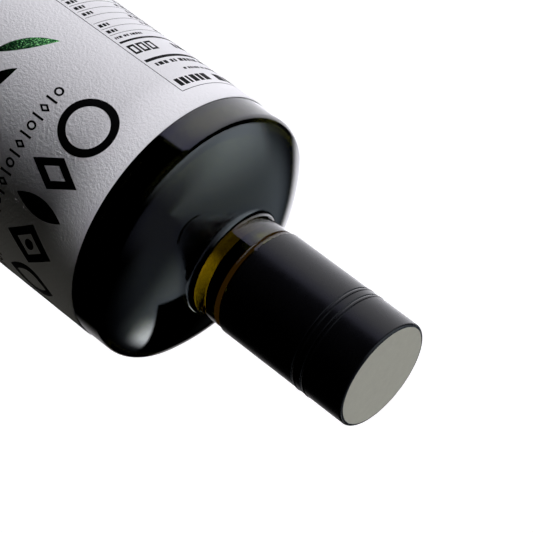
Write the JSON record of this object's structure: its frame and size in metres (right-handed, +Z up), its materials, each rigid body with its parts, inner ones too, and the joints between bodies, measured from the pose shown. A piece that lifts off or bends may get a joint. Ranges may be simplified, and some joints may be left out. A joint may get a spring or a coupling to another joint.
{
  "type": "olive oil bottle",
  "caption": "Squat round bottle of dark green glass, filled with olive oil, closed with a long black screw cap and wrapped in a paper label; stands upright on its base.",
  "frame": {"origin": "centre of the base, on the surface that the bottle stands on", "axes": "+Z up along the bottle's axis; -Y faces the front of the label"},
  "size_m": [0.0768, 0.0767, 0.196],
  "materials": {
    "dark_glass": "polished dark green glass",
    "olive_oil": "clear golden liquid",
    "black_lacquer": "satin black lacquer on aluminium",
    "pale_metal": "fine matte, warm grey",
    "label_paper": "uncoated, felt-marked, printed in black and green foil",
    "black_ink": "matte black printing ink on the label",
    "green_foil": "dark green hot-stamped foil on the label"
  },
  "bodies": {
    "root": {"bottle": "dark_glass", "oil": "olive_oil", "cap": "black_lacquer", "cap_disc": "pale_metal", "label": "label_paper"}
  },
  "joints": []
}
